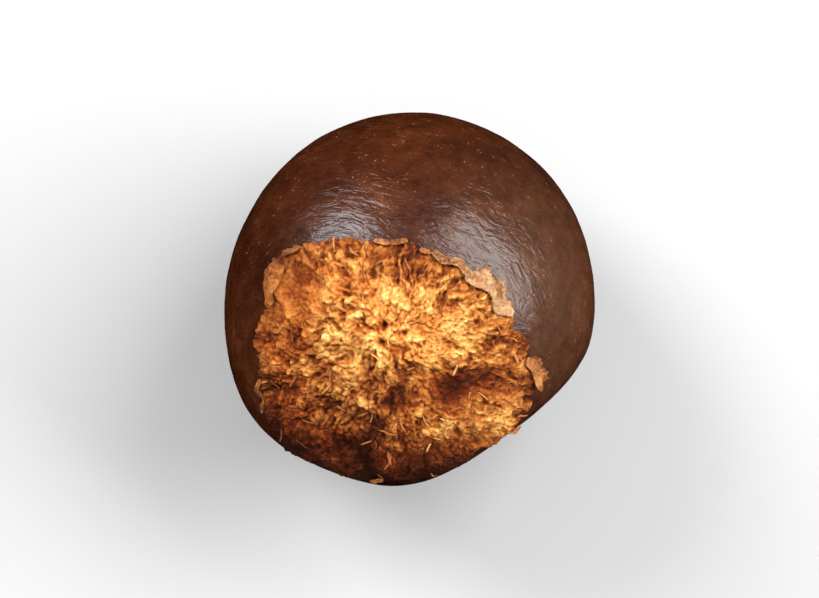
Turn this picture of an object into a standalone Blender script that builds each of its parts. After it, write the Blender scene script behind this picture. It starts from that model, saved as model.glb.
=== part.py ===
"""A dried guarana seed at its real size, resting on a small flat spot with its scar turned up.

Metres, +Z up. The origin is on the resting surface, under the middle of the seed's box.
The seed is one grown body. Its coat is nearly round, with flats where it was pressed in the fruit.
On the coat lies the rough crust of the scar, where the seed was held, with a torn edge and one
small dried scrap of skin standing up from that edge.
"""

import bmesh
import bpy
import numpy as np
from mathutils import Matrix

MM = 0.001

# Body of the seed: its length lies LENGTH_TURN degrees round from the +X side
SEED_LENGTH = 10.72 * MM
SEED_WIDTH = 10.55 * MM
SEED_HEIGHT = 9.75 * MM
LENGTH_TURN = 74
MIDDLE = np.array((0.03, -0.05, 4.50)) * MM
SWELL_SIZE = 3.6 * MM
SWELL_HEIGHT = 0.07 * MM

# Flats pressed into the body: the way each one faces, and its distance as a share of the width
FLATS = (
    ((0.58, -0.79, -0.20), 0.411),
    ((-0.52, 0.62, -0.58), 0.475),
)
FLAT_SHARPNESS = 18

# Rounded corner of the body beside the scar: the way it faces, how far it stands out, how narrow it is
CORNER_FACES = (-0.78, -0.62, -0.05)
CORNER_HEIGHT = 0.27 * MM
CORNER_SHARPNESS = 16

# Resting spot: a four-cornered flat, and how steeply and softly the underside rises from its sides
SPOT_HALF_WIDTH = 1.30 * MM
SPOT_TURN = 30
SPOT_RISE = 0.25
SPOT_BLEND = 0.03 * MM

# Scar: the way its middle faces, and its edge as a turn round the middle and an angle from it
SCAR_FACES = (-0.13, -0.487, 0.864)
SCAR_EDGE = (
    (-170, 42), (-150, 45), (-130, 48), (-112, 45), (-95, 41), (-72, 38), (-50, 41), (-30, 47),
    (-10, 49), (12, 47), (30, 46), (46, 47), (62, 46), (80, 47), (98, 46), (112, 50),
    (126, 51), (138, 56), (150, 50), (162, 45),
)
EDGE_BLEND = 60
TEETH_AROUND = 6.5
TEETH_REACH = 2.2

# Crust of the scar: thickest towards CRUST_THICK_TURN, thinnest on the other side
CRUST_HEIGHT = 0.18 * MM
CRUST_VARIES = 0.09 * MM
CRUST_THICK_TURN = 140
CRUST_LEAST = 0.05 * MM
LIP_HEIGHT = 0.05 * MM
LIP_WIDTH = 0.55 * MM

# Low boss with three small holes where the vessels ran in, across and up the scar from its middle
BOSS = (-0.05 * MM, 1.75 * MM)
BOSS_HEIGHT = 0.15 * MM
BOSS_WIDTH = 1.30 * MM
HOLES = ((-0.10 * MM, 1.98 * MM), (-0.16 * MM, 1.52 * MM), (0.45 * MM, 1.80 * MM))
HOLE_DEPTH = 0.14 * MM
HOLE_WIDTH = 0.15 * MM

# Fibre bundles that run out from the boss, and lumps between them
FIBRES_AROUND = 6.5
FIBRE_LENGTH = 1.2 * MM
FIBRE_HEIGHT = 0.09 * MM
FIBRE_START = 1.8 * MM
FIBRE_SWAY = 0.35
SWAY_SIZE = 1.2 * MM
LUMP_SIZE = 0.62 * MM
LUMP_HEIGHT = 0.09 * MM

# Creases in the crust: start and end across and up the scar, depth and width
CREASES = (
    ((-1.1 * MM, 1.3 * MM), (0.3 * MM, 0.0 * MM), 0.12 * MM, 0.26 * MM),
    ((0.6 * MM, 0.4 * MM), (3.2 * MM, 0.1 * MM), 0.12 * MM, 0.34 * MM),
    ((0.3 * MM, 0.0 * MM), (-0.8 * MM, -2.6 * MM), 0.14 * MM, 0.24 * MM),
    ((-0.8 * MM, -2.6 * MM), (-0.4 * MM, -4.2 * MM), 0.10 * MM, 0.22 * MM),
    ((-3.4 * MM, -0.5 * MM), (-0.9 * MM, -1.0 * MM), 0.10 * MM, 0.28 * MM),
)
CREASE_WANDER = 0.25 * MM
WANDER_SIZE = 1.1 * MM

# Scrap of dried skin at the scar's edge
SCRAP_TURN = 3
SCRAP_OUT = 0.10 * MM
SCRAP_HEIGHT = 0.26 * MM
SCRAP_LENGTH = 0.40 * MM
SCRAP_WIDTH = 0.22 * MM

# Mesh: points round the scar's axis, rings from the scar's middle to the far side
AROUND = 112
RINGS = 50
SCAR_RINGS = 27
RING_SPREAD = 1.35

# Finishes: colour and roughness of the coat and of the scar's crust
COAT_FINISH = ((0.075, 0.024, 0.011), 0.32)
CRUST_FINISH = ((0.42, 0.17, 0.05), 0.88)

# Gradient noise: corners of the lattice each way before it repeats, and what scales it to 1
LATTICE = 32
NOISE_GAIN = 1.6


def clear_scene():
    for thing in list(bpy.data.objects):
        bpy.data.objects.remove(thing, do_unlink=True)


def unit(vector):
    vector = np.asarray(vector, float)
    return vector / np.linalg.norm(vector)


def soft_noise(points, cell, seed):
    """Random swells from about -1 to 1, one cell across: gradient noise on a cubic lattice."""
    scaled = points / cell
    corner = np.floor(scaled).astype(int)
    inside = scaled - corner
    ease = inside**3 * (inside * (inside * 6 - 15) + 10)
    slopes = np.random.default_rng(seed).normal(size=(LATTICE, LATTICE, LATTICE, 3))
    slopes /= np.linalg.norm(slopes, axis=-1, keepdims=True)
    total = np.zeros(len(points))
    for step in np.ndindex(2, 2, 2):
        x, y, z = ((corner + step) % LATTICE).T
        weight = np.where(step, ease, 1 - ease).prod(axis=1)
        total += weight * (slopes[x, y, z] * (inside - step)).sum(axis=1)
    return NOISE_GAIN * total


def scar_directions(tilt, turn):
    """Unit directions at an angle (tilt) from the scar's axis, turned round it from the +X side."""
    axis = unit(SCAR_FACES)
    side = unit(np.array((1.0, 0.0, 0.0)) - axis[0] * axis)
    up = np.cross(axis, side)
    across = np.outer(np.cos(turn), side) + np.outer(np.sin(turn), up)
    return np.cos(tilt)[:, None] * axis + np.sin(tilt)[:, None] * across


def scar_edge(turn):
    """Angle of the scar's torn edge from its axis: a smooth closed curve near SCAR_EDGE, with teeth."""
    knots, reach = np.radians(SCAR_EDGE).T
    pull = np.exp(EDGE_BLEND * (np.cos(turn[:, None] - knots) - 1))
    smooth = (pull * reach).sum(axis=1) / pull.sum(axis=1)
    circle = np.stack((np.cos(turn), np.sin(turn), 0 * turn), axis=1)
    return smooth + np.radians(TEETH_REACH) * soft_noise(circle * TEETH_AROUND, 1, seed=3)


def body_reach(directions):
    """Distance from MIDDLE to the coat: an ellipsoid, softly cut by the flats, with a corner and swells."""
    half = np.array((SEED_LENGTH, SEED_WIDTH, SEED_HEIGHT)) / 2
    turned = directions @ np.array(Matrix.Rotation(np.radians(LENGTH_TURN), 3, "Z"))
    closeness = np.linalg.norm(turned / half, axis=1) ** FLAT_SHARPNESS
    for faces, distance in FLATS:
        facing = np.clip(directions @ unit(faces), 0, None)
        closeness += (facing / (distance * SEED_WIDTH)) ** FLAT_SHARPNESS
    reach = closeness ** (-1 / FLAT_SHARPNESS)
    swell = soft_noise(directions * SEED_WIDTH / 2, SWELL_SIZE, seed=1)
    corner = np.exp(CORNER_SHARPNESS * (directions @ unit(CORNER_FACES) - 1))
    return reach + SWELL_HEIGHT * swell + CORNER_HEIGHT * corner


def crease_depth(across, up):
    """Depth of the creases: a rounded groove along each one's line, which wanders a little."""
    place = np.stack((across, up, 0 * across), axis=1)
    wander = CREASE_WANDER * soft_noise(place, WANDER_SIZE, seed=7)
    depth = np.zeros(len(across))
    for start, end, deep, wide in CREASES:
        way = np.subtract(end, start)
        along = np.clip(((across - start[0]) * way[0] + (up - start[1]) * way[1]) / (way @ way), 0, 1)
        away = np.hypot(across - start[0] - along * way[0], up - start[1] - along * way[1])
        depth += deep * np.exp(-(((away + wander) / wide) ** 2))
    return depth


def mound(across, up, middle, width):
    """A rounded mound, 1 at its middle and near 0 one and a half widths away."""
    return np.exp(-((across - middle[0]) ** 2 + (up - middle[1]) ** 2) / width**2)


def fibre_height(across, up):
    """Bundles that run out from the boss and sway: noise over the turn round the boss and the way out."""
    place = np.stack((across, up, 0 * across), axis=1)
    out = np.hypot(across - BOSS[0], up - BOSS[1])
    sway = np.arctan2(up - BOSS[1], across - BOSS[0]) + FIBRE_SWAY * soft_noise(place, SWAY_SIZE, seed=4)
    bundles = np.stack((np.cos(sway), np.sin(sway), out / FIBRE_LENGTH / FIBRES_AROUND), axis=1)
    start = np.clip(out / FIBRE_START, 0, 1)
    return FIBRE_HEIGHT * start * soft_noise(bundles * FIBRES_AROUND, 1, seed=5)


def crust_height(tilt, turn, edge):
    """Height of the crust over the coat: its thickness and lip, the boss, fibres, lumps and creases."""
    arc = tilt * SEED_WIDTH / 2
    from_edge = (edge - tilt) * SEED_WIDTH / 2
    across, up = arc * np.cos(turn), arc * np.sin(turn)
    height = CRUST_HEIGHT + CRUST_VARIES * np.cos(turn - np.radians(CRUST_THICK_TURN))
    height += LIP_HEIGHT * np.exp(-((from_edge / LIP_WIDTH) ** 2))
    height += BOSS_HEIGHT * mound(across, up, BOSS, BOSS_WIDTH)
    for hole in HOLES:
        height -= HOLE_DEPTH * mound(across, up, hole, HOLE_WIDTH)
    height += fibre_height(across, up)
    height += LUMP_HEIGHT * soft_noise(np.stack((across, up, 0 * across), axis=1), LUMP_SIZE, seed=6)
    return np.maximum(height - crease_depth(across, up), CRUST_LEAST)


def scrap_height(tilt, turn, edge):
    """Height of the scrap: a short rounded ridge along the scar's edge."""
    out = (tilt - edge) * SEED_WIDTH / 2 - SCRAP_OUT
    turned = np.angle(np.exp(1j * (turn - np.radians(SCRAP_TURN))))
    along = turned * np.sin(edge) * SEED_WIDTH / 2
    return SCRAP_HEIGHT * np.exp(-((out / SCRAP_WIDTH) ** 2) - (along / SCRAP_LENGTH) ** 4)


def rest(points):
    """Lifts the underside onto the resting spot and the low slopes that rise from its four sides.

    The point nearest each corner of the spot is moved onto it, so the seed stands on the four corners.
    """
    turn = np.array(Matrix.Rotation(np.radians(SPOT_TURN), 2))
    beyond = abs(points[:, :2] @ turn).max(axis=1) - SPOT_HALF_WIDTH
    floor = SPOT_RISE * np.maximum(beyond, 0)
    gap = points[:, 2] - floor
    soft = np.maximum(SPOT_BLEND - abs(gap), 0) ** 2 / (4 * SPOT_BLEND)
    points[:, 2] = floor + np.maximum(gap, 0) + soft
    for side in ((1, 1), (-1, 1), (-1, -1), (1, -1)):
        corner = np.array((*(turn @ side * SPOT_HALF_WIDTH), 0))
        points[np.linalg.norm(points - corner, axis=1).argmin()] = corner
    return points


def seed_points(ring, turn):
    """Points on the seed: ring 0 is the scar's middle, SCAR_RINGS its edge, RINGS the far side."""
    edge = scar_edge(turn)
    beyond = np.clip((ring - SCAR_RINGS) / (RINGS - SCAR_RINGS), 0, 1)
    tilt_on_scar = edge * ring / SCAR_RINGS
    tilt_on_coat = edge + (np.pi - edge) * beyond**RING_SPREAD
    tilt = np.where(ring <= SCAR_RINGS, tilt_on_scar, tilt_on_coat)
    directions = scar_directions(tilt, turn)
    crust = np.where(ring <= SCAR_RINGS, crust_height(tilt, turn, edge), 0)
    reach = body_reach(directions) + crust + scrap_height(tilt, turn, edge)
    return rest(MIDDLE + directions * reach[:, None])


def make_material(name, finish):
    colour, roughness = finish
    material = bpy.data.materials.new(name)
    material.use_nodes = True
    shader = material.node_tree.nodes["Principled BSDF"]
    shader.inputs["Base Color"].default_value = (*colour, 1)
    shader.inputs["Roughness"].default_value = roughness
    shader.inputs["Metallic"].default_value = 0
    return material


def make_seed():
    """A sphere whose poles lie on the scar's axis, with each point moved to its place on the seed."""
    shape = bmesh.new()
    bmesh.ops.create_uvsphere(shape, u_segments=AROUND, v_segments=RINGS, radius=1)
    start = np.array([point.co for point in shape.verts])
    ring = np.round(np.arccos(np.clip(start[:, 2], -1, 1)) / np.pi * RINGS)
    turn = np.arctan2(start[:, 1], start[:, 0])
    for point, place in zip(shape.verts, seed_points(ring, turn)):
        point.co = place
    crust = {point for point, step in zip(shape.verts, ring) if step <= SCAR_RINGS}
    for face in shape.faces:
        face.material_index = 1 if crust.issuperset(face.verts) else 0
        face.smooth = True
    spot = [face for face in shape.faces if all(point.co.z == 0 for point in face.verts)]
    bmesh.ops.dissolve_faces(shape, faces=spot)
    mesh = bpy.data.meshes.new("guarana_seed")
    shape.to_mesh(mesh)
    shape.free()
    seed = bpy.data.objects.new("guarana_seed", mesh)
    mesh.materials.append(make_material("seed_coat", COAT_FINISH))
    mesh.materials.append(make_material("hilum_scar", CRUST_FINISH))
    bpy.context.scene.collection.objects.link(seed)


clear_scene()
make_seed()
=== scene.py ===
"""Looks of a dried guarana seed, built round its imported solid.

The seed has a glossy brown coat, a rough golden crust where it was held in its fruit, thin torn
skin along the crust's edge, and loose fibres on the crust. Every surface of it is worked out as a
function of two parameters on a grid, in metres, +Z up. Places on the scar are given as distances
across it and up it from its middle.
"""

import bpy
import numpy as np
from mathutils import Matrix, Quaternion, Vector


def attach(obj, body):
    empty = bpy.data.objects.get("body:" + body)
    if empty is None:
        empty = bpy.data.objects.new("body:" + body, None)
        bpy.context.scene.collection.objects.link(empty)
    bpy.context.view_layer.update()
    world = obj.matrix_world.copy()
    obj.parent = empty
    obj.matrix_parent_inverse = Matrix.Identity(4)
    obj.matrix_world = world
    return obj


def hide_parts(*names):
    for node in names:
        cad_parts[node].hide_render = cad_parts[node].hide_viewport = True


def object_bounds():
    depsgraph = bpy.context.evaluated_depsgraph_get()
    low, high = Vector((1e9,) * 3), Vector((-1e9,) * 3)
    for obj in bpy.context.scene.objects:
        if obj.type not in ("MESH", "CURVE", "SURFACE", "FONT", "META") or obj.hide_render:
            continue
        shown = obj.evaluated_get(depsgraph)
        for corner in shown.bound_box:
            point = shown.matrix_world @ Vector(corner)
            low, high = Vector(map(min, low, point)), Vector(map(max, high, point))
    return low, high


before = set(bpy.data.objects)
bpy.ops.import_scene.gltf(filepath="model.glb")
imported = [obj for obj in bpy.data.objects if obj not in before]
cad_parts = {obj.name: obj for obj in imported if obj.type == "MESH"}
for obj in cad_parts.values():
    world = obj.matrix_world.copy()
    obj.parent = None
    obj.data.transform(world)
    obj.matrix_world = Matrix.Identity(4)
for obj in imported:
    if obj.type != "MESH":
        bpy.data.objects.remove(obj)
cad_low, cad_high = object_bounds()

MM = 0.001

# Body of the seed: its length lies LENGTH_TURN degrees round from the +X side
SEED_LENGTH = 10.72 * MM
SEED_WIDTH = 10.55 * MM
SEED_HEIGHT = 9.75 * MM
LENGTH_TURN = 74
MIDDLE = np.array((0.03, -0.05, 4.50)) * MM
SWELL_SIZE = 3.6 * MM
SWELL_HEIGHT = 0.07 * MM

# Flats pressed into the body: the way each one faces, and its distance as a share of the width
FLATS = (
    ((0.58, -0.79, -0.20), 0.411),
    ((-0.52, 0.62, -0.58), 0.475),
)
FLAT_SHARPNESS = 18

# Rounded corner of the body beside the scar: the way it faces, how far it stands out, how narrow it is
CORNER_FACES = (-0.78, -0.62, -0.05)
CORNER_HEIGHT = 0.27 * MM
CORNER_SHARPNESS = 16

# Resting spot: a four-cornered flat, and how steeply and softly the underside rises from its sides
SPOT_HALF_WIDTH = 1.30 * MM
SPOT_TURN = 30
SPOT_RISE = 0.25
SPOT_BLEND = 0.03 * MM

# Scar: the way its middle faces, and its edge as a turn round the middle and an angle from it
SCAR_FACES = (-0.13, -0.487, 0.864)
SCAR_EDGE = (
    (-170, 42), (-150, 45), (-130, 48), (-112, 45), (-95, 41), (-72, 38), (-50, 41), (-30, 47),
    (-10, 49), (12, 47), (30, 46), (46, 47), (62, 46), (80, 47), (98, 46), (112, 50),
    (126, 51), (138, 56), (150, 50), (162, 45),
)
EDGE_BLEND = 60
TEETH_AROUND = 6.5
TEETH_REACH = 2.2

# Crust of the scar: thickest towards CRUST_THICK_TURN, thinnest on the other side
CRUST_HEIGHT = 0.18 * MM
CRUST_VARIES = 0.09 * MM
CRUST_THICK_TURN = 140
CRUST_LEAST = 0.05 * MM
LIP_HEIGHT = 0.05 * MM
LIP_WIDTH = 0.55 * MM

# Low boss with three small holes where the vessels ran in
BOSS = (-0.05 * MM, 1.75 * MM)
BOSS_HEIGHT = 0.15 * MM
BOSS_WIDTH = 1.30 * MM
HOLES = ((-0.10 * MM, 1.98 * MM), (-0.16 * MM, 1.52 * MM), (0.45 * MM, 1.80 * MM))
HOLE_DEPTH = 0.14 * MM
HOLE_WIDTH = 0.15 * MM

# Fibre bundles that run out from the boss, and lumps between them
FIBRES_AROUND = 6.5
FIBRE_LENGTH = 1.2 * MM
FIBRE_HEIGHT = 0.09 * MM
FIBRE_START = 1.8 * MM
FIBRE_SWAY = 0.35
SWAY_SIZE = 1.2 * MM
LUMP_SIZE = 0.62 * MM
LUMP_HEIGHT = 0.09 * MM

# Creases in the crust: start, end, depth and width
CREASES = (
    ((-1.1 * MM, 1.3 * MM), (0.3 * MM, 0.0 * MM), 0.12 * MM, 0.26 * MM),
    ((0.6 * MM, 0.4 * MM), (3.2 * MM, 0.1 * MM), 0.12 * MM, 0.34 * MM),
    ((0.3 * MM, 0.0 * MM), (-0.8 * MM, -2.6 * MM), 0.14 * MM, 0.24 * MM),
    ((-0.8 * MM, -2.6 * MM), (-0.4 * MM, -4.2 * MM), 0.10 * MM, 0.22 * MM),
    ((-3.4 * MM, -0.5 * MM), (-0.9 * MM, -1.0 * MM), 0.10 * MM, 0.28 * MM),
)
CREASE_WANDER = 0.25 * MM
WANDER_SIZE = 1.1 * MM

# Noise of two sizes that bends the places of the crumbs, pits and threads
BEND = 0.13 * MM
BEND_SIZE = 0.40 * MM
SMALL_BEND = 0.045 * MM
SMALL_BEND_SIZE = 0.14 * MM

# Long crumbs that stand at their own levels, with clefts between them; the cleft's width is in crumbs
CRUMB_SIZE = 0.26 * MM
CRUMB_STRETCH = 2.3
CRUMB_STEP = 0.07 * MM
CRUMB_SWAY = 1.8
CRUMB_SWAY_SIZE = 0.9 * MM
CLEFT_DEPTH = 0.045 * MM
CLEFT_WIDTH = 0.15

# Pits, each round a dot of a second lattice, of which a share is pitted; their width is in pits
PIT_SIZE = 0.32 * MM
PIT_STRETCH = 2.5
PIT_DEPTH = 0.095 * MM
PIT_WIDTH = 0.34
PIT_SHARE = 0.40

# Threads that run out from the boss, sharp ridges, and grit
THREADS_AROUND = 26
THREAD_LENGTH = 0.45 * MM
THREAD_HEIGHT = 0.035 * MM
THREAD_GAP = 0.2
RIDGE_SIZE = 0.19 * MM
RIDGE_HEIGHT = 0.035 * MM
RIDGE_SHARPNESS = 2.2
GRIT_SIZE = 0.10 * MM
GRIT_HEIGHT = 0.018 * MM

# What deepens the holes of the boss; as the crust's colour follows the relief, this also paints them
# darker, which is painted shade
HOLE_SHADE_WIDTH = 0.10 * MM
HOLE_EXTRA = 0.16 * MM

# Worn, flap-like and golden places of the crust: the middle and width of each
WORN = (
    ((-3.0 * MM, -2.5 * MM), 1.3 * MM),
    ((1.7 * MM, -3.1 * MM), 1.1 * MM),
    ((2.0 * MM, 0.1 * MM), 0.6 * MM),
    ((0.0 * MM, -3.3 * MM), 1.5 * MM),
    ((-0.9 * MM, -2.3 * MM), 0.7 * MM),
)
FLAPS = (((-3.3 * MM, 2.55 * MM), 0.9 * MM),)
GOLDEN = (
    ((-0.3 * MM, 1.9 * MM), 1.3 * MM),
    ((1.7 * MM, 1.6 * MM), 1.0 * MM),
    ((-1.3 * MM, 1.3 * MM), 0.6 * MM),
    ((1.4 * MM, -1.5 * MM), 0.7 * MM),
)

# How much lower the pits, ridges, relief and whole crust are where worn, and the relief on a flap
WORN_PITS = 0.5
WORN_RIDGES = 0.7
WORN_RELIEF = 0.25
WORN_CRUST = 0.2
FLAP_RELIEF = 0.85

# How softly the low places of the crust level off just over the coat
CRUST_SOFT = 0.05 * MM

# How much the bundles and creases add to the relief that the crust's colour follows: painted light on the
# bundles and painted shade in the creases
RISE_SHADE_SHARE = 0.35

# Torn wall round the crust: how far its top frays, how deep its foot sinks into the coat
FRAY_AROUND = 34
FRAY_REACH = 1.1
FRAY_START = 8
WALL_SINK = 0.14 * MM

# How much the fine relief calms towards the wall, and how near the wall that starts
CALM = 0.6
CALM_START = 10

# Coat: fine wrinkles in rings round the scar, and slower ripples between them
WRINKLE_SIZE = 0.24 * MM
WRINKLE_LENGTH = 0.65 * MM
WRINKLE_HEIGHT = 0.008 * MM
WRINKLE_WAVE = 0.30 * MM
RIPPLE_SIZE = 0.8 * MM
RIPPLE_HEIGHT = 0.010 * MM

# Painted light on the coat: the side that faces the right-hand softbox is painted paler; the way it faces,
# and how narrow it is
LIT_SIDE_FACES = (0.80, 0.05, 0.60)
LIT_SIDE_SHARPNESS = 5

# Torn skin: each sheet's start and end turn, inner and outer reach past the edge, stand, lift and paleness
SKINS = (
    (29, 57, -3.5, 4.6, 0.06 * MM, 0.02 * MM, 0.80),
    (55, 74, -1.5, 1.6, 0.06 * MM, 0.03 * MM, 0.60),
    (-8, 8, -1.5, 3.8, 0.12 * MM, 0.14 * MM, 0.15),
    (137, 153, -5.5, 0.4, 0.25 * MM, 0.02 * MM, 0.00),
)

# Small sheets of skin: how many, and the least and most of what each one draws, in degrees and mm
SMALL_SKINS = 12
SMALL_SKIN_SPAN = (4, 10)
SMALL_SKIN_INNER = (-1.6, -0.6)
SMALL_SKIN_OUTER = (0.4, 1.3)
SMALL_SKIN_STAND = 0.06 * MM
SMALL_SKIN_LIFT_MM = (-0.04, 0.03)
SMALL_SKIN_PALE = (0.0, 0.25)

# Every sheet: its thickness, its lift off the crust and the coat, and where past the edge it comes down
SKIN_THICKNESS = 0.030 * MM
SKIN_LIFT = 0.07 * MM
SKIN_LEAST = 0.005 * MM
SKIN_DRAPE = 0.24 * MM
SKIN_FALL = 0.18 * MM

# Where a sheet's middle line lies between its borders, how its ends narrow, and its waves
SKIN_MIDDLE = 0.35
SKIN_TAPER = 6
SKIN_BLUNTNESS = 0.6
SKIN_WAVES_AROUND = 5.2
SKIN_WAVE_SIZE = 0.35
SKIN_WAVE_HEIGHT = 0.030 * MM
SKIN_ROWS, SKIN_COLUMNS = 14, 60

# Raggedness of a sheet's outer border: how often it turns, and the share and size of two swells
RAGS_AROUND = 9
RAGS = ((0.5, 0.9), (0.4, 0.25))

# Loose fibres that lie on the crust or stick out over its edge
LOOSE_FIBRES = 44
EDGE_FIBRES = 10
FIBRE_STATIONS, FIBRE_SIDES = 7, 5

# What each fibre draws: how far out it starts, its length, half width and lift, and its turn and bend
EDGE_FIBRE_SHARE = (0.92, 1.0)
LOOSE_FIBRE_AREA = (0, 0.9)
LOOSE_LENGTH_MM = (0.25, 0.60)
LOOSE_WIDTH_MM = (0.018, 0.040)
LOOSE_LIFT_MM = (0.00, 0.07)
LOOSE_TURN = 0.8
LOOSE_BEND = 0.7
EDGE_FIBRE_LIFT = 0.3

# How a fibre lies: how far past the edge it comes down, its height over the ground and its flatness
FIBRE_FALL = 0.3 * MM
FIBRE_OVER_COAT = 0.02 * MM
FIBRE_OVER_GROUND = 0.012 * MM
FIBRE_FLATNESS = 0.45
FIBRE_LEAST_TAPER = 0.08

# Colours of the finishes, from dark to light: the place of each on its ramp, then the colour
COAT_TONES = (
    (0.32, (0.012, 0.0022, 0.0009)),
    (0.45, (0.030, 0.0058, 0.0013)),
    (0.56, (0.053, 0.0112, 0.0024)),
    (0.70, (0.110, 0.0290, 0.0070)),
)
CRUST_TONES = (
    (0.05, (0.040, 0.009, 0.003)),
    (0.24, (0.105, 0.023, 0.005)),
    (0.40, (0.235, 0.057, 0.011)),
    (0.56, (0.425, 0.146, 0.029)),
    (0.74, (0.700, 0.340, 0.086)),
    (0.93, (0.960, 0.700, 0.260)),
)
ORANGE_TONES = (
    (0.30, (0.10, 0.024, 0.004)),
    (0.50, (0.27, 0.080, 0.014)),
    (0.70, (0.46, 0.170, 0.036)),
)
TAN_TONES = (
    (0.32, (0.20, 0.080, 0.028)),
    (0.50, (0.45, 0.250, 0.120)),
    (0.68, (0.62, 0.410, 0.220)),
)
FIBRE_TONES = (
    (0.10, (0.200, 0.050, 0.012)),
    (0.40, (0.500, 0.180, 0.040)),
    (0.70, (0.820, 0.450, 0.130)),
    (0.95, (0.930, 0.700, 0.330)),
)
# Painted light: colours of the coat's side that faces the right-hand softbox
LIT_SIDE_DARK = (0.045, 0.018, 0.008)
LIT_SIDE_LIGHT = (0.16, 0.070, 0.036)
SPECK_COLOUR = (0.36, 0.17, 0.08)
# Painted shade on the coat along the foot of the crust
CRUST_FOOT_SHADE_COLOUR = (0.016, 0.005, 0.003)
RUST_TINT = (1.0, 0.66, 0.46)
WORN_TINT = (0.96, 0.72, 0.60)

# Wrinkles of the coat's finish: their size, and how many lie to each radian of the way from the crust
FINE_WRINKLE_SIZE = 0.50 * MM
FINE_WRINKLES_OUT = 11

# Floor: how far it reaches each way, its two greys, and where its faint glow starts and how grey it gets
FLOOR_REACH = 450 * MM
FLOOR_GREYS = ((0.46, 0.46, 0.46), (0.49, 0.49, 0.49))
GLOW_START = 200 * MM
GLOW_GREY = (0.52, 0.52, 0.52)

# Surroundings: height of the view's direction, then the grey there
SKY_TONES = (
    (0.00, (0.85, 0.85, 0.85)),
    (0.22, (0.74, 0.74, 0.74)),
    (0.65, (0.40, 0.40, 0.40)),
)

# Soft lights: the way each lies, width, height, watts, roll in degrees, and whether the coat mirrors it
SOFTBOX_DISTANCE = 300 * MM
SOFTBOXES = {
    "softbox_right": ((0.702, 0.270, 0.660), 350 * MM, 140 * MM, 1.62, 25, True),
    "softbox_left": ((-0.578, 0.550, 0.603), 125 * MM, 155 * MM, 0.95, 0, True),
    "fill_above": ((0.00, 0.26, 0.97), 300 * MM, 300 * MM, 0.16, 0, False),
}

# Camera: lens and sensor in mm, the height of what it sees, and the picture's width over its height
LENS_LENGTH = 200
SENSOR_WIDTH = 36
VIEW_HEIGHT = 17.0 * MM
PICTURE_SHAPE = 819 / 598
CLIP_RANGE = 20

# Meshes: points round and rings on the coat, cells across the crust's square grid
COAT_AROUND = 560
COAT_RINGS = 176
CRUST_CELLS = 300
WALL_ROWS = 5

# Gradient noise: corners of the lattice each way before it repeats, and what scales it to 1
LATTICE = 32
NOISE_GAIN = 1.6


def unit(vector):
    """The vector over its own length."""
    vector = np.asarray(vector, float)
    return vector / np.linalg.norm(vector)


def soft_noise(points, cell, seed):
    """Random swells from about -1 to 1, one cell across: gradient noise on a cubic lattice.

    Each corner of a point's cell gives its random slope times the way to the point. The eight are
    blended with weights that ease as 6t^5 - 15t^4 + 10t^3 along each side.
    """
    scaled = points / cell
    corner = np.floor(scaled).astype(int)
    inside = scaled - corner
    ease = inside**3 * (inside * (inside * 6 - 15) + 10)
    slopes = np.random.default_rng(seed).normal(size=(LATTICE, LATTICE, LATTICE, 3))
    slopes /= np.linalg.norm(slopes, axis=-1, keepdims=True)
    total = np.zeros(len(points))
    for step in np.ndindex(2, 2, 2):
        x, y, z = ((corner + step) % LATTICE).T
        weight = np.where(step, ease, 1 - ease).prod(axis=1)
        total += weight * (slopes[x, y, z] * (inside - step)).sum(axis=1)
    return NOISE_GAIN * total


def scar_directions(tilt, turn):
    """Unit directions at an angle (tilt) from the scar's axis, turned round it from the +X side."""
    axis = unit(SCAR_FACES)
    side = unit(np.array((1.0, 0.0, 0.0)) - axis[0] * axis)
    up = np.cross(axis, side)
    across = np.outer(np.cos(turn), side) + np.outer(np.sin(turn), up)
    return np.cos(tilt)[:, None] * axis + np.sin(tilt)[:, None] * across


def scar_edge(turn):
    """Angle of the scar's torn edge from its axis: a smooth closed curve near SCAR_EDGE, with teeth."""
    knots, reach = np.radians(SCAR_EDGE).T
    pull = np.exp(EDGE_BLEND * (np.cos(turn[:, None] - knots) - 1))
    smooth = (pull * reach).sum(axis=1) / pull.sum(axis=1)
    circle = np.stack((np.cos(turn), np.sin(turn), 0 * turn), axis=1)
    return smooth + np.radians(TEETH_REACH) * soft_noise(circle * TEETH_AROUND, 1, seed=3)


def body_reach(directions):
    """Distance from MIDDLE to the coat: an ellipsoid, softly cut by the flats, with a corner and swells."""
    half = np.array((SEED_LENGTH, SEED_WIDTH, SEED_HEIGHT)) / 2
    turned = directions @ np.array(Matrix.Rotation(np.radians(LENGTH_TURN), 3, "Z"))
    closeness = np.linalg.norm(turned / half, axis=1) ** FLAT_SHARPNESS
    for faces, distance in FLATS:
        facing = np.clip(directions @ unit(faces), 0, None)
        closeness += (facing / (distance * SEED_WIDTH)) ** FLAT_SHARPNESS
    reach = closeness ** (-1 / FLAT_SHARPNESS)
    swell = soft_noise(directions * SEED_WIDTH / 2, SWELL_SIZE, seed=1)
    corner = np.exp(CORNER_SHARPNESS * (directions @ unit(CORNER_FACES) - 1))
    return reach + SWELL_HEIGHT * swell + CORNER_HEIGHT * corner


def crease_depth(across, up):
    """Depth of the creases: a rounded groove along each one's line, which wanders a little."""
    place = np.stack((across, up, 0 * across), axis=1)
    wander = CREASE_WANDER * soft_noise(place, WANDER_SIZE, seed=7)
    depth = np.zeros(len(across))
    for start, end, deep, wide in CREASES:
        way = np.subtract(end, start)
        along = np.clip(((across - start[0]) * way[0] + (up - start[1]) * way[1]) / (way @ way), 0, 1)
        away = np.hypot(across - start[0] - along * way[0], up - start[1] - along * way[1])
        depth += deep * np.exp(-(((away + wander) / wide) ** 2))
    return depth


def mound(across, up, middle, width):
    """A rounded mound, 1 at its middle and near 0 one and a half widths away."""
    return np.exp(-((across - middle[0]) ** 2 + (up - middle[1]) ** 2) / width**2)


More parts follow.
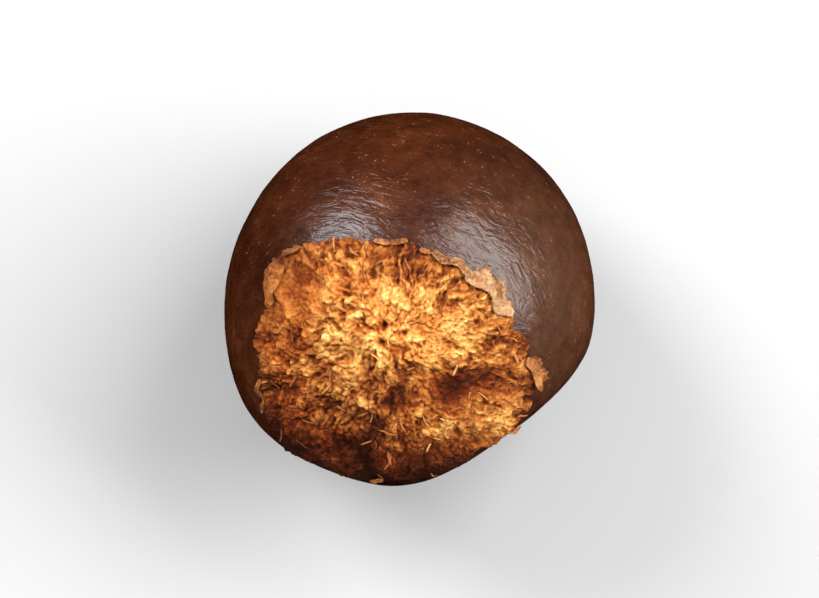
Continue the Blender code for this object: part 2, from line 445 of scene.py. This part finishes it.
def fibre_height(across, up):
    """Bundles that run out from the boss and sway: noise over the turn round the boss and the way out."""
    place = np.stack((across, up, 0 * across), axis=1)
    out = np.hypot(across - BOSS[0], up - BOSS[1])
    sway = np.arctan2(up - BOSS[1], across - BOSS[0]) + FIBRE_SWAY * soft_noise(place, SWAY_SIZE, seed=4)
    bundles = np.stack((np.cos(sway), np.sin(sway), out / FIBRE_LENGTH / FIBRES_AROUND), axis=1)
    start = np.clip(out / FIBRE_START, 0, 1)
    return FIBRE_HEIGHT * start * soft_noise(bundles * FIBRES_AROUND, 1, seed=5)


def crust_height(tilt, turn, edge):
    """Height of the crust over the coat: its thickness and lip, the boss, fibres, lumps and creases."""
    arc = tilt * SEED_WIDTH / 2
    from_edge = (edge - tilt) * SEED_WIDTH / 2
    across, up = arc * np.cos(turn), arc * np.sin(turn)
    height = CRUST_HEIGHT + CRUST_VARIES * np.cos(turn - np.radians(CRUST_THICK_TURN))
    height += LIP_HEIGHT * np.exp(-((from_edge / LIP_WIDTH) ** 2))
    height += BOSS_HEIGHT * mound(across, up, BOSS, BOSS_WIDTH)
    for hole in HOLES:
        height -= HOLE_DEPTH * mound(across, up, hole, HOLE_WIDTH)
    height += fibre_height(across, up)
    height += LUMP_HEIGHT * soft_noise(np.stack((across, up, 0 * across), axis=1), LUMP_SIZE, seed=6)
    return np.maximum(height - crease_depth(across, up), CRUST_LEAST)


def rest(points):
    """Lifts the underside onto the resting spot and the low slopes that rise from its four sides."""
    turn = np.array(Matrix.Rotation(np.radians(SPOT_TURN), 2))
    beyond = abs(points[:, :2] @ turn).max(axis=1) - SPOT_HALF_WIDTH
    floor = SPOT_RISE * np.maximum(beyond, 0)
    gap = points[:, 2] - floor
    soft = np.maximum(SPOT_BLEND - abs(gap), 0) ** 2 / (4 * SPOT_BLEND)
    points[:, 2] = floor + np.maximum(gap, 0) + soft
    return points


def share_near(across, up, places):
    """How near each point is to any of the places: 1 at one's middle, falling softly to 0 around it."""
    return np.clip(sum(mound(across, up, middle, width) for middle, width in places), 0, 1)


def crumbs(across, up, size, stretch, seed):
    """Long crumbs packed side by side, each round one dot of a jittered square lattice.

    A point belongs to the dot that is nearest when lengths along the crumb are divided by the stretch.
    Gives the distance to that dot and to the next one, in sizes, and the dot's own level, 0 to 1.
    """
    place = np.stack((across, up), axis=1) / size
    sway = soft_noise(np.stack((across, up, 0 * across), axis=1), CRUMB_SWAY_SIZE, seed)
    way = np.arctan2(up - BOSS[1], across - BOSS[0]) + CRUMB_SWAY * sway
    ahead = np.stack((np.cos(way), np.sin(way)), axis=1)
    aside = np.stack((-np.sin(way), np.cos(way)), axis=1)
    dots = np.random.default_rng(seed).uniform(size=(LATTICE, LATTICE, 3))
    corner = np.floor(place).astype(int)
    nearest, second, level = np.full(len(place), np.inf), np.full(len(place), np.inf), np.zeros(len(place))
    for step in np.ndindex(5, 5):
        near = corner + step - 2
        dot = dots[near[:, 0] % LATTICE, near[:, 1] % LATTICE]
        gap = near + dot[:, :2] - place
        away = np.hypot((gap * ahead).sum(axis=1) / stretch, (gap * aside).sum(axis=1))
        closer = away < nearest
        second = np.where(closer, nearest, np.minimum(second, away))
        level = np.where(closer, dot[:, 2], level)
        nearest = np.where(closer, away, nearest)
    return nearest, second, level


def bent(across, up):
    """The same places moved about by noise, so that what is laid out on them looks grown."""
    flat = np.stack((across, up, 0 * across), axis=1)
    moved = []
    for line, seed, small_seed in ((across, 31, 33), (up, 32, 34)):
        large = BEND * soft_noise(flat, BEND_SIZE, seed)
        moved.append(line + large + SMALL_BEND * soft_noise(flat, SMALL_BEND_SIZE, small_seed))
    return moved


def fine_relief(across, up):
    """Relief on the crust: crumbs at their own levels less their clefts and pits, plus sharp ridges where
    noise crosses 0, threads that fade in past the boss, and grit. The boss's holes go deeper still.
    """
    worn = share_near(across, up, WORN)
    flat = np.stack((across, up, 0 * across), axis=1)
    bent_across, bent_up = bent(across, up)
    nearest, second, level = crumbs(bent_across, bent_up, CRUMB_SIZE, CRUMB_STRETCH, seed=21)
    cleft = np.exp(-(((second - nearest) / CLEFT_WIDTH) ** 2))
    relief = CRUMB_STEP * (level - 0.5) - CLEFT_DEPTH * cleft
    nearest, _, level = crumbs(bent_across, bent_up, PIT_SIZE, PIT_STRETCH, seed=22)
    pit = np.clip(1 - level / PIT_SHARE, 0, 1) ** 0.5 * np.exp(-((nearest / PIT_WIDTH) ** 4))
    relief -= PIT_DEPTH * pit * (1 - WORN_PITS * worn)
    ridge = 1 - RIDGE_SHARPNESS * abs(soft_noise(flat, RIDGE_SIZE, seed=23))
    relief += RIDGE_HEIGHT * ridge * (1 - WORN_RIDGES * worn)
    out = np.hypot(across - BOSS[0], up - BOSS[1])
    turn = np.arctan2(bent_up - BOSS[1], bent_across - BOSS[0])
    threads = np.stack((np.cos(turn), np.sin(turn), out / THREAD_LENGTH / THREADS_AROUND), axis=1)
    fade = np.clip(out / FIBRE_START - THREAD_GAP, 0, 1)
    relief += THREAD_HEIGHT * fade * soft_noise(threads * THREADS_AROUND, 1, seed=24)
    relief *= (1 - FLAP_RELIEF * share_near(across, up, FLAPS)) * (1 - WORN_RELIEF * worn)
    # The holes' extra depth also darkens the crust's colour there, which is painted shade
    relief -= HOLE_EXTRA * share_near(across, up, [(hole, HOLE_SHADE_WIDTH) for hole in HOLES])
    return relief + GRIT_HEIGHT * soft_noise(flat, GRIT_SIZE, seed=9)


def on_seed(tilt, turn, height):
    """Points a height above the coat at an angle from the scar's axis, turned round it."""
    directions = scar_directions(tilt, turn)
    return MIDDLE + directions * (body_reach(directions) + height)[:, None]


def on_scar(across, up, height):
    """Points a height above the coat, at distances across and up the scar from its middle."""
    return on_seed(np.hypot(across, up) / (SEED_WIDTH / 2), np.arctan2(up, across), height)


def put_mesh(name, points, faces, attributes=()):
    """A smooth mesh object from points and faces, with a number for each point under each name given."""
    mesh = bpy.data.meshes.new(name)
    mesh.from_pydata(points, [], faces)
    mesh.shade_smooth()
    for label, values in dict(attributes).items():
        mesh.attributes.new(label, "FLOAT", "POINT").data.foreach_set("value", values)
    piece = bpy.data.objects.new(name, mesh)
    bpy.context.scene.collection.objects.link(piece)
    return piece


def grid_faces(rows, columns, wrap):
    """Quads of a grid of points, row after row; wrap joins its last column to its first."""
    last_column = columns if wrap else columns - 1
    row, column = np.meshgrid(np.arange(rows - 1), np.arange(last_column), indexing="ij")
    here, following = row * columns + column, row * columns + (column + 1) % columns
    return np.stack((here, here + columns, following + columns, following), axis=-1).reshape(-1, 4)


def grid_border(rows, columns):
    """The points round the border of a grid, in order."""
    grid = np.arange(rows * columns).reshape(rows, columns)
    return np.concatenate((grid[0, :-1], grid[:-1, -1], grid[-1, :0:-1], grid[:0:-1, 0]))


def fan_faces(tip, ring):
    """Triangles from a tip to each side of a ring of points."""
    return np.column_stack((np.full(len(ring), tip), ring, np.roll(ring, -1)))


def make_coat():
    """Rings round the scar's axis, from under the crust to the far side, each pole a fan of triangles.

    Each point stands at the body's reach plus ripples and wrinkles, and then rests on the spot.
    """
    rings = np.linspace(0, np.pi, COAT_RINGS + 1)[1:-1]
    turns = np.arange(COAT_AROUND) / COAT_AROUND * 2 * np.pi
    tilt, turn = (values.ravel() for values in np.meshgrid(rings, turns, indexing="ij"))
    tilt, turn = np.append(tilt, (0, np.pi)), np.append(turn, (0, 0))
    directions = scar_directions(tilt, turn)
    ripple = RIPPLE_HEIGHT * soft_noise(directions * SEED_WIDTH / 2, RIPPLE_SIZE, seed=12)
    ring = np.stack((np.sin(tilt) * np.cos(turn), np.sin(tilt) * np.sin(turn)), axis=1) / WRINKLE_LENGTH
    wave = WRINKLE_WAVE * soft_noise(directions * SEED_WIDTH / 2, RIPPLE_SIZE, seed=15)
    rows = np.column_stack((ring * SEED_WIDTH / 2, (tilt * SEED_WIDTH / 2 + wave) / WRINKLE_SIZE))
    wrinkle = WRINKLE_HEIGHT * soft_noise(rows, 1, seed=14)
    points = rest(on_seed(tilt, turn, ripple + wrinkle))
    near_pole, far_pole = len(points) - 2, len(points) - 1
    first = np.arange(COAT_AROUND)
    last = first + (len(rings) - 1) * COAT_AROUND
    caps = np.vstack((fan_faces(near_pole, first), fan_faces(far_pole, last)[:, (0, 2, 1)]))
    faces = grid_faces(len(rings), COAT_AROUND, wrap=True).tolist() + caps.tolist()
    # Share of painted light: 1 on the side that faces the right-hand softbox
    paler = np.exp(LIT_SIDE_SHARPNESS * (directions @ unit(LIT_SIDE_FACES) - 1))
    return put_mesh("seed_coat", points, faces, {"from_edge": tilt - scar_edge(turn), "paler": paler})


def square_to_disc(across, up):
    """Turn and radius in a disc for points of a square from -1 to 1, in squares that become rings."""
    radius = np.maximum(abs(across), abs(up))
    sideways = abs(across) >= abs(up)
    ahead = np.where(sideways, across, up)
    ratio = np.where(sideways, up, across) / np.where(ahead == 0, 1, ahead)
    turn = np.where(sideways, ratio, 2 - ratio) * np.pi / 4
    return np.where(ahead < 0, turn + np.pi, turn), radius


def make_crust():
    """A square grid wrapped onto the scar. Its outer rows turn down as a torn wall, closed by a fan.

    Each point's height is the crust's plus the fine relief, levelled off softly just over the coat.
    """
    line = np.linspace(-1, 1, CRUST_CELLS + 1)
    across, up = (values.ravel() for values in np.meshgrid(line, line, indexing="ij"))
    turn, radius = square_to_disc(across, up)
    wall_share = 2 * WALL_ROWS / CRUST_CELLS
    on_top = np.clip(radius / (1 - wall_share), 0, 1)
    down = np.clip((radius - 1 + wall_share) / wall_share, 0, 1)
    circle = np.stack((np.cos(turn), np.sin(turn), down / FRAY_AROUND), axis=1)
    fray = np.radians(FRAY_REACH) * soft_noise(circle * FRAY_AROUND, 1, seed=13)
    edge = scar_edge(turn)
    tilt = edge * on_top + fray * on_top**FRAY_START
    arc = tilt * SEED_WIDTH / 2
    across, up = arc * np.cos(turn), arc * np.sin(turn)
    relief = fine_relief(across, up)
    worn = share_near(across, up, WORN)
    shade_rise = fibre_height(across, up) - crease_depth(across, up)
    height = crust_height(tilt, turn, edge) * (1 - WORN_CRUST * worn)
    height += relief * (1 - CALM * on_top**CALM_START)
    height = CRUST_SOFT * np.logaddexp(0, height / CRUST_SOFT)
    height = height * (1 - down) - WALL_SINK * down
    points = on_seed(tilt, turn, height)
    border = grid_border(CRUST_CELLS + 1, CRUST_CELLS + 1)
    points = np.vstack((points, points[border].mean(axis=0)))
    fan = fan_faces(len(points) - 1, border)
    faces = grid_faces(CRUST_CELLS + 1, CRUST_CELLS + 1, wrap=False).tolist() + fan.tolist()
    across, up = np.append(across, 0), np.append(up, 0)
    # The relief that the crust's colour follows: its hollows come out darker, partly painted shade
    attributes = {
        "relief": np.append(relief + RISE_SHADE_SHARE * shade_rise, 0) / MM,
        "radius": np.append(radius, 1),
        "golden": share_near(across, up, GOLDEN),
        "worn": share_near(across, up, WORN),
    }
    return put_mesh("hilum_crust", points, faces, attributes)


def make_sheet(start, end, inner, outer, stand, lift, pale, seed):
    """A thin sheet of skin on a grid: rows run from its inner to its outer border, columns along it.

    Both borders wander, the ends narrow to points, and the height over the coat runs from the crust's
    down to the sheet's own, with waves and a lifted outer border. A second, lower layer closes it.
    """
    row, column = np.meshgrid(np.linspace(0, 1, SKIN_ROWS), np.linspace(0, 1, SKIN_COLUMNS), indexing="ij")
    row, column = row.ravel(), column.ravel()
    turn = np.radians(start + (end - start) * column)
    line = np.stack((turn * RAGS_AROUND, 0 * turn, 0 * turn + seed), axis=1)
    ragged = 1 + sum(share * soft_noise(line, size, seed) for share, size in RAGS)
    narrow = np.clip(np.minimum(column, 1 - column) * SKIN_TAPER, 0, 1) ** SKIN_BLUNTNESS
    middle = inner + (outer - inner) * SKIN_MIDDLE
    inward = middle + (inner - middle) * (1 - row / SKIN_MIDDLE) * narrow
    outward = middle + (outer - middle) * (row - SKIN_MIDDLE) / (1 - SKIN_MIDDLE) * narrow * ragged
    reach = np.where(row < SKIN_MIDDLE, inward, outward)
    edge = scar_edge(turn)
    tilt = edge + np.radians(reach)
    over = np.clip((SKIN_DRAPE - np.radians(reach) * SEED_WIDTH / 2) / SKIN_FALL, 0, 1)
    crust = crust_height(np.minimum(tilt, edge), turn, edge)
    waves = np.stack((turn * SKIN_WAVES_AROUND, tilt * SKIN_WAVES_AROUND, 0 * turn + seed), axis=1)
    height = (crust + SKIN_LIFT) * over + stand * (1 - over) * (1 - row) + lift * row**3 + SKIN_THICKNESS
    height += SKIN_WAVE_HEIGHT * soft_noise(waves, SKIN_WAVE_SIZE, seed + 1)
    height = np.maximum(height, SKIN_THICKNESS + SKIN_LEAST)
    top = on_seed(tilt, turn, height)
    under = on_seed(tilt, turn, height - SKIN_THICKNESS)
    count = len(top)
    faces = grid_faces(SKIN_ROWS, SKIN_COLUMNS, wrap=False)
    border = grid_border(SKIN_ROWS, SKIN_COLUMNS)
    after = np.roll(border, -1)
    sides = np.stack((border, after, after + count, border + count), axis=1)
    points, faces = np.vstack((top, under)), np.vstack((faces, faces[:, ::-1] + count, sides))
    return points, faces, np.tile(row, 2), np.full(len(points), pale)


def make_skins():
    """The torn skin along the crust's edge: a few broad sheets, and small ones at random turns."""
    draw = np.random.default_rng(31)
    sheets = [make_sheet(*sheet, seed=40 + order) for order, sheet in enumerate(SKINS)]
    for order in range(SMALL_SKINS):
        start = draw.uniform(-180, 180)
        end = start + draw.uniform(*SMALL_SKIN_SPAN)
        inner, outer = draw.uniform(*SMALL_SKIN_INNER), draw.uniform(*SMALL_SKIN_OUTER)
        lift, pale = draw.uniform(*SMALL_SKIN_LIFT_MM) * MM, draw.uniform(*SMALL_SKIN_PALE)
        sheets.append(make_sheet(start, end, inner, outer, SMALL_SKIN_STAND, lift, pale, seed=60 + order))
    before = np.cumsum([0] + [len(sheet[0]) for sheet in sheets])
    points = np.vstack([sheet[0] for sheet in sheets])
    faces = np.vstack([sheet[1] + first for first, sheet in zip(before, sheets)])
    attributes = {"outward": np.concatenate([sheet[2] for sheet in sheets])}
    attributes["pale"] = np.concatenate([sheet[3] for sheet in sheets])
    return put_mesh("torn_skin", points, faces.tolist(), attributes)


def make_fibres():
    """Loose fibres: a flat tapering profile carried along a bent path on the crust, closed at each end.

    Every fibre's path is worked out at once: one row of stations for each, and a ring of points round
    each station. The heading turns evenly along the path, and the far end lifts as its square.
    """
    draw = np.random.default_rng(51)
    count = LOOSE_FIBRES + EDGE_FIBRES
    at_edge = np.arange(count) >= LOOSE_FIBRES
    turn = draw.uniform(-np.pi, np.pi, count)
    edge = scar_edge(turn)
    share_at_edge = draw.uniform(*EDGE_FIBRE_SHARE, count)
    share_on_crust = np.sqrt(draw.uniform(*LOOSE_FIBRE_AREA, count))
    arc = edge * np.where(at_edge, share_at_edge, share_on_crust) * SEED_WIDTH / 2
    across, up = arc * np.cos(turn), arc * np.sin(turn)
    way = np.arctan2(up - BOSS[1], across - BOSS[0]) + draw.normal(0, LOOSE_TURN, count)
    length = draw.uniform(*LOOSE_LENGTH_MM, count) * MM
    width = draw.uniform(*LOOSE_WIDTH_MM, count) * MM
    bend = draw.normal(0, LOOSE_BEND, count)
    lift = draw.uniform(*LOOSE_LIFT_MM, count) * MM * np.where(at_edge, EDGE_FIBRE_LIFT, 1)
    along = np.linspace(0, 1, FIBRE_STATIONS)[None, :]
    heading = way[:, None] + bend[:, None] * along
    step = length[:, None] / (FIBRE_STATIONS - 1)
    path_across = across[:, None] + np.cumsum(step * np.cos(heading), axis=1) - step * np.cos(heading)
    path_up = up[:, None] + np.cumsum(step * np.sin(heading), axis=1) - step * np.sin(heading)
    angle = np.hypot(path_across, path_up) / (SEED_WIDTH / 2)
    path_turn = np.arctan2(path_up, path_across)
    path_edge = scar_edge(path_turn.ravel()).reshape(angle.shape)
    beyond = np.clip((angle - path_edge) * SEED_WIDTH / 2 / FIBRE_FALL, 0, 1)
    crust = crust_height(np.minimum(angle, path_edge).ravel(), path_turn.ravel(), path_edge.ravel())
    ground = crust.reshape(angle.shape) * (1 - beyond) + FIBRE_OVER_COAT * beyond
    height = ground + lift[:, None] * along**2 + FIBRE_OVER_GROUND
    taper = np.sqrt(np.clip(1 - (2 * along - 1) ** 4, FIBRE_LEAST_TAPER, 1))
    side = np.arange(FIBRE_SIDES) / FIBRE_SIDES * 2 * np.pi
    reach = (width[:, None] * taper)[:, :, None]
    offset = reach * np.cos(side)
    ring_across = path_across[:, :, None] - offset * np.sin(heading)[:, :, None]
    ring_up = path_up[:, :, None] + offset * np.cos(heading)[:, :, None]
    ring_height = height[:, :, None] + FIBRE_FLATNESS * reach * np.sin(side)
    points = on_scar(ring_across.ravel(), ring_up.ravel(), ring_height.ravel())
    tube = grid_faces(FIBRE_STATIONS, FIBRE_SIDES, wrap=True)
    ring = np.arange(FIBRE_SIDES)
    first = np.arange(count)[:, None, None] * FIBRE_STATIONS * FIBRE_SIDES
    quads = (tube[None] + first).reshape(-1, 4).tolist()
    ends = np.stack((ring[::-1], ring + (FIBRE_STATIONS - 1) * FIBRE_SIDES))
    ends = (ends[None] + first).reshape(-1, FIBRE_SIDES).tolist()
    tone = np.repeat(draw.uniform(0, 1, count), FIBRE_STATIONS * FIBRE_SIDES)
    golden = share_near(ring_across.ravel(), ring_up.ravel(), GOLDEN)
    return put_mesh("loose_fibres", points, quads + ends, {"tone": tone, "golden": golden})


def make_floor():
    """A level sheet under the seed, wide enough to run out of every view."""
    side = FLOOR_REACH
    corners = [(-side, -side, 0), (side, -side, 0), (side, side, 0), (-side, side, 0)]
    return put_mesh("studio_floor", corners, [(0, 1, 2, 3)])


class Value:
    """A shader socket that takes arithmetic. Each operator adds one Math node."""

    def __init__(self, finish, socket):
        self.finish, self.socket = finish, socket

    def math(self, operation, *values):
        return self.finish.node("ShaderNodeMath", {"operation": operation}, dict(enumerate(values)))

    def __add__(self, other):
        return self.math("ADD", self, other)

    def __radd__(self, other):
        return self.math("ADD", other, self)

    def __sub__(self, other):
        return self.math("SUBTRACT", self, other)

    def __rsub__(self, other):
        return self.math("SUBTRACT", other, self)

    def __mul__(self, other):
        return self.math("MULTIPLY", self, other)

    def __rmul__(self, other):
        return self.math("MULTIPLY", other, self)

    def over(self, low, high):
        """How far the value is from low to high, smoothly from 0 to 1."""
        settings = {"interpolation_type": "SMOOTHSTEP"}
        sockets = {"Value": self, "From Min": low, "From Max": high}
        return self.finish.node("ShaderNodeMapRange", settings, sockets)


class Finish:
    """The nodes of one material, or of the world, and the few moves that build them."""

    def __init__(self, tree):
        self.tree = tree
        tree.nodes.clear()

    def node(self, kind, settings=(), sockets=(), out=0):
        """Adds a node: its settings are set first, then each socket takes a value or a link."""
        made = self.tree.nodes.new(kind)
        for name, value in dict(settings).items():
            if name == "stops":
                self.set_stops(made.color_ramp, value)
            else:
                setattr(made, name, value)
        for name, value in dict(sockets).items():
            socket = made.inputs[name]
            if isinstance(value, Value):
                self.tree.links.new(value.socket, socket)
            else:
                socket.default_value = value
        return Value(self, made.outputs[out]) if made.outputs else made

    def set_stops(self, ramp, stops):
        """Gives a new ramp its stops, each a position and a colour."""
        while len(ramp.elements) < len(stops):
            ramp.elements.new(1)
        for element, (position, colour) in zip(ramp.elements, stops):
            element.position = position
            element.color = (*colour, 1)

    def place(self):
        """Object coordinates, in metres."""
        return self.node("ShaderNodeTexCoord", out=3)

    def noise(self, size, detail=2, roughness=0.5, place=None, **more):
        """Noise from about 0 to 1 whose swells are about size metres across."""
        sockets = {"Vector": place or self.place(), "Scale": 1 / size}
        sockets = {**sockets, "Detail": detail, "Roughness": roughness, **more}
        return self.node("ShaderNodeTexNoise", {}, sockets)

    def attribute(self, name):
        """The number that the mesh holds at each point under this name."""
        return self.node("ShaderNodeAttribute", {"attribute_name": name}, out=2)

    def ramp(self, value, stops):
        """A colour from a value: it blends evenly from each stop to the next."""
        return self.node("ShaderNodeValToRGB", {"stops": stops}, {0: value})

    def mix(self, share, first, second, blend="MIX"):
        """Colour mix: all of the first at share 0, all of the second at share 1."""
        colours = [(*c, 1) if isinstance(c, tuple) else c for c in (first, second)]
        settings = {"data_type": "RGBA", "blend_type": blend}
        return self.node("ShaderNodeMix", settings, {0: share, 6: colours[0], 7: colours[1]}, out=2)

    def bump(self, height, distance, under=None):
        """Normals of a relief that is distance metres deep, on top of another bump if one is given."""
        sockets = {"Height": height, "Distance": distance}
        if under:
            sockets["Normal"] = under
        return self.node("ShaderNodeBump", {}, sockets)

    def surface(self, **sockets):
        """Ends the tree in a Principled shader; underscores in the socket names stand for spaces."""
        named = {name.replace("_", " "): value for name, value in sockets.items()}
        shader = self.node("ShaderNodeBsdfPrincipled", {}, named)
        self.node("ShaderNodeOutputMaterial", {}, {"Surface": shader})


def new_finish(name):
    """A new material and the finish that builds its nodes."""
    material = bpy.data.materials.new(name)
    material.use_nodes = True
    return material, Finish(material.node_tree)


def coat_finish():
    """Smooth hard skin: dark red-brown with slow mottling, fine grain and tiny pale specks.

    Painted paler on the side that faces the right-hand softbox, which is painted light, and painted darker
    just beside the crust, which is painted shade; wrinkled in rings round the crust.
    """
    material, f = new_finish("glossy_coat")
    slow = f.noise(2.4 * MM, 3, 0.55)
    patches = f.noise(0.50 * MM, 4, 0.62)
    grain = f.noise(0.08 * MM, 3, 0.6)
    outward = f.attribute("from_edge") * FINE_WRINKLES_OUT
    rings = {0: f.place(), "Scale": 1 / FINE_WRINKLE_SIZE}
    rings = f.node("ShaderNodeVectorMath", {"operation": "SCALE"}, rings)
    rings = f.node("ShaderNodeVectorMath", {"operation": "ADD"}, {0: rings, 1: outward})
    wrinkles = f.noise(1, 2, 0.5, rings, Distortion=1.1)
    colour = f.ramp(slow * 0.42 + patches * 0.28 + grain * 0.16 + wrinkles * 0.14, COAT_TONES)
    speck = f.noise(0.07 * MM, 1, 0.4).over(0.68, 0.76) * patches.over(0.42, 0.60)
    # Painted light: the side facing the right-hand softbox is painted paler
    colour = f.mix(f.attribute("paler") * 0.55, colour, f.mix(patches, LIT_SIDE_DARK, LIT_SIDE_LIGHT))
    colour = f.mix(speck * 0.6, colour, SPECK_COLOUR)
    # Painted shade: the coat is painted darker in a thin band at the foot of the crust
    crust_foot_shade = 1 - f.attribute("from_edge").over(0.0, 0.06)
    colour = f.mix(crust_foot_shade * 0.6, colour, CRUST_FOOT_SHADE_COLOUR)
    rough = 0.18 + patches * 0.14 + grain * 0.08
    bumps = f.bump(wrinkles, 0.034 * MM)
    bumps = f.bump(grain, 0.006 * MM, bumps)
    f.surface(Base_Color=colour, Roughness=rough, Normal=bumps, IOR=1.5, Specular_IOR_Level=0.4)
    return material


def crust_finish():
    """Dry rough tissue: golden on the crumbs, browner where it is worn.

    Its lightness follows the relief plus slow and fine noise. The clefts, pits, creases and holes are
    darker, partly from the tissue's own tone and partly from painted shade. It is also less towards the
    rim, partly from the crust's own rust and partly from painted shade where the edge turns away from the
    lamps.
    """
    material, f = new_finish("dry_crust")
    blotch = f.noise(0.9 * MM, 3, 0.6)
    fine = f.noise(0.10 * MM, 4, 0.65)
    worn = f.attribute("worn")
    # Darker towards the rim: partly the crust's own rust, partly painted shade where the edge turns away
    # from the lamps
    rim_rust_and_shade = f.attribute("radius").over(0.80, 1.0)
    # Lightness follows the relief: darker in the clefts, pits, creases and holes, partly the tissue's own
    # tone and partly painted shade
    lightness = f.attribute("relief") * 3.2 + f.attribute("golden") * 0.30 - worn * 0.42
    lightness = lightness + blotch * 1.0 + fine * 0.7 - 0.42 - rim_rust_and_shade * (0.12 + worn * 0.20)
    colour = f.ramp(lightness * 0.75 + 0.20, CRUST_TONES)
    rusty = f.noise(2.0 * MM, 2, 0.5).over(0.45, 0.62)
    colour = f.mix(rusty * 0.5, colour, RUST_TINT, "MULTIPLY")
    colour = f.mix(worn * 0.6, colour, WORN_TINT, "MULTIPLY")
    bumps = f.bump(fine, 0.045 * MM)
    f.surface(Base_Color=colour, Roughness=0.9, Normal=bumps, Specular_IOR_Level=0.1)
    return material


def skin_finish():
    """Thin dried skin: from orange brown to pinkish tan, with browner patches."""
    material, f = new_finish("dry_skin")
    blotch = f.noise(0.45 * MM, 3, 0.6)
    fine = f.noise(0.08 * MM, 3, 0.6)
    tone = blotch * 0.90 + fine * 0.60 - f.attribute("outward") * 0.10 - 0.22
    colour = f.mix(f.attribute("pale"), f.ramp(tone, ORANGE_TONES), f.ramp(tone, TAN_TONES))
    rough = 0.55 + fine * 0.3
    bumps = f.bump(fine, 0.030 * MM)
    f.surface(Base_Color=colour, Roughness=rough, Normal=bumps, Specular_IOR_Level=0.15)
    return material


def fibre_finish():
    """Dried fibres: each has its own tone from rust to straw, lighter where the crust is golden."""
    material, f = new_finish("dry_fibre")
    fine = f.noise(0.07 * MM, 3, 0.6)
    tone = f.attribute("tone") * 0.40 + f.attribute("golden") * 0.34 + (fine - 0.5) * 0.5 + 0.06
    colour = f.ramp(tone, FIBRE_TONES)
    f.surface(Base_Color=colour, Roughness=0.8, Normal=f.bump(fine, 0.012 * MM), IOR=1.45)
    return material


def floor_finish():
    """Pale and matt. It glows faintly far out, where the lights are weak, and so meets the surroundings."""
    material, f = new_finish("pale_floor")
    shade = f.mix(f.noise(30 * MM, 3, 0.5), *FLOOR_GREYS)
    distance = f.node("ShaderNodeVectorMath", {"operation": "LENGTH"}, {0: f.place()}, out=1)
    glow = f.mix(distance.over(GLOW_START, FLOOR_REACH), (0.0, 0.0, 0.0), GLOW_GREY)
    f.surface(Base_Color=shade, Roughness=0.7, Emission_Color=glow, Emission_Strength=1.0)
    return material


def make_world():
    """Pale studio surroundings, which the glossy coat doesn't mirror."""
    world = bpy.data.worlds.new("studio")
    world.use_nodes = True
    f = Finish(world.node_tree)
    height = f.node("ShaderNodeSeparateXYZ", {}, {0: f.node("ShaderNodeTexCoord")}, out=2)
    glow = f.node("ShaderNodeBackground", {}, {0: f.ramp(height, SKY_TONES), 1: 1.0})
    f.node("ShaderNodeOutputWorld", {}, {0: glow})
    world.cycles_visibility.glossy = False
    bpy.context.scene.world = world


def make_softbox(name, towards, width, height, power, roll, mirrored):
    """A rectangular light some way off in a direction, facing the seed and rolled on its own axis."""
    lamp = bpy.data.lights.new(name, "AREA")
    lamp.shape = "RECTANGLE"
    lamp.size, lamp.size_y = width, height
    lamp.energy = power
    softbox = bpy.data.objects.new(name, lamp)
    away = Vector(towards).normalized()
    softbox.location = Vector(MIDDLE) + away * SOFTBOX_DISTANCE
    rolled = Quaternion((0, 0, 1), np.radians(roll))
    softbox.rotation_euler = (away.to_track_quat("Z", "Y") @ rolled).to_euler()
    softbox.visible_camera = False
    softbox.visible_glossy = mirrored
    bpy.context.scene.collection.objects.link(softbox)


def make_camera():
    """Straight above the seed with a long lens, the top of the picture towards +Y."""
    lens = bpy.data.cameras.new("camera")
    lens.lens = LENS_LENGTH
    lens.sensor_width = SENSOR_WIDTH
    distance = VIEW_HEIGHT * PICTURE_SHAPE / SENSOR_WIDTH * LENS_LENGTH
    camera = bpy.data.objects.new("camera", lens)
    middle = (cad_low + cad_high) / 2
    camera.location = (middle.x, middle.y, middle.z + distance)
    lens.clip_start, lens.clip_end = distance / CLIP_RANGE, distance * CLIP_RANGE
    bpy.context.scene.collection.objects.link(camera)
    bpy.context.scene.camera = camera


def dress(piece, material):
    """A piece of the seed: it takes its finish, rides the seed's body and stands for its solid."""
    piece.data.materials.append(material)
    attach(piece, "root")
    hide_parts("guarana_seed")


bpy.context.scene.view_settings.view_transform = "Standard"
make_camera()
make_world()
for name, softbox in SOFTBOXES.items():
    make_softbox(name, *softbox)
dress(make_coat(), coat_finish())
dress(make_crust(), crust_finish())
dress(make_skins(), skin_finish())
dress(make_fibres(), fibre_finish())
floor = make_floor()
floor.data.materials.append(floor_finish())
floor.visible_glossy = False
